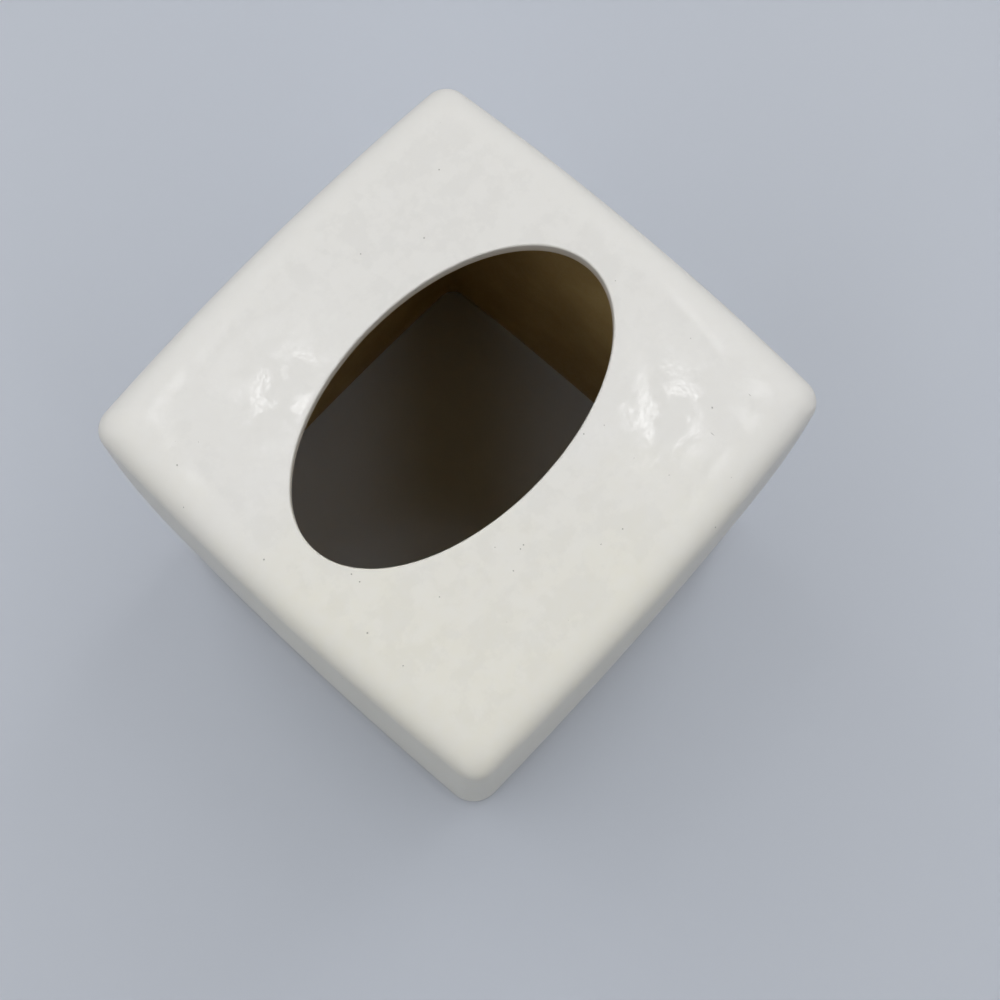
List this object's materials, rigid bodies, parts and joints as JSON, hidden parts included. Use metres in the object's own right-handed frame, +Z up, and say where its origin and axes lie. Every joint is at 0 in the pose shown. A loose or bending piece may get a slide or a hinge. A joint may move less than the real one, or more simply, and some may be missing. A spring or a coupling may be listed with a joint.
{
  "type": "tissue box cover",
  "caption": "Cube-shaped cast cover that drops over a carton of tissues: bowed sides, soft shoulders, an oval opening in the top, open underneath.",
  "frame": {"origin": "middle of the footprint, on the surface that the pads stand on", "axes": "+Z up, X along the long way of the oval opening, -Y towards the front"},
  "size_m": [0.13, 0.13, 0.1348],
  "materials": {
    "glaze": "ivory glaze, soft gloss",
    "pad": "matt foam rubber"
  },
  "bodies": {
    "root": {"cover_shell": "glaze", "pad_front_left": "pad", "pad_front_right": "pad", "pad_back_left": "pad", "pad_back_right": "pad"}
  },
  "joints": []
}
